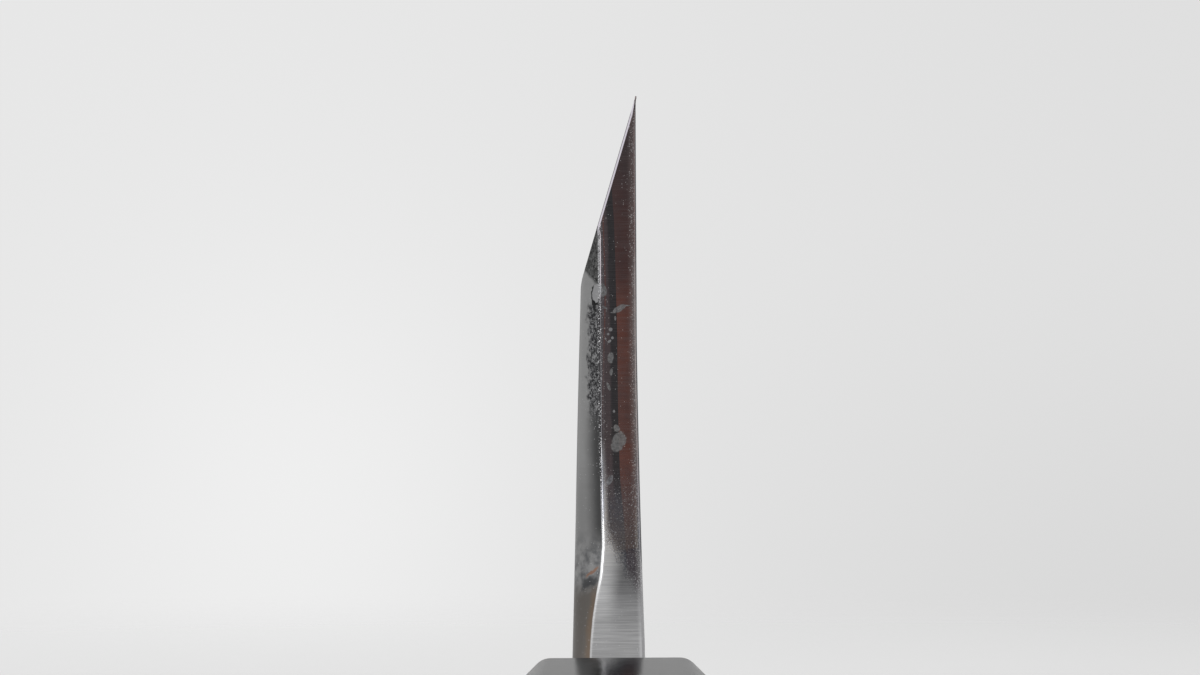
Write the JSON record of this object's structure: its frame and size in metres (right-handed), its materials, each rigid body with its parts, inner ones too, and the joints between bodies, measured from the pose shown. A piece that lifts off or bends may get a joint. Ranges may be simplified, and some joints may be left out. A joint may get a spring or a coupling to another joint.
{
  "type": "deba knife",
  "caption": "Single-bevel deba knife with a laminated blade, a thick straight spine, a hollow flat back, a horn ferrule and an octagonal wooden handle, standing edge up.",
  "frame": {"origin": "on the plane of the handle's spine-side flat, under the middle of the whole knife", "axes": "+Y from the butt of the handle to the tip of the blade, +X out of the blade's flat back, +Z from the spine to the cutting edge, so the knife stands on its handle's flat with the edge up, as pictured"},
  "size_m": [0.0244, 0.3362, 0.0633],
  "materials": {
    "hard_steel": "polished, with fine scratches along the edge",
    "soft_iron": "satin, brushed along the blade, hazy on the bevel",
    "black_horn": "polished buffalo horn",
    "ho_wood": "fine sanded, unvarnished",
    "dowel_wood": "plain turned hardwood",
    "dark_resin": "set resin, scraped flush",
    "amber_resin": "set resin"
  },
  "bodies": {
    "root": {"blade_steel": "hard_steel", "blade_iron": "soft_iron", "ferrule": "black_horn", "handle_grip": "ho_wood", "handle_dowel": "dowel_wood", "mouth_seal": "dark_resin", "tang_bed": "amber_resin"}
  },
  "joints": []
}
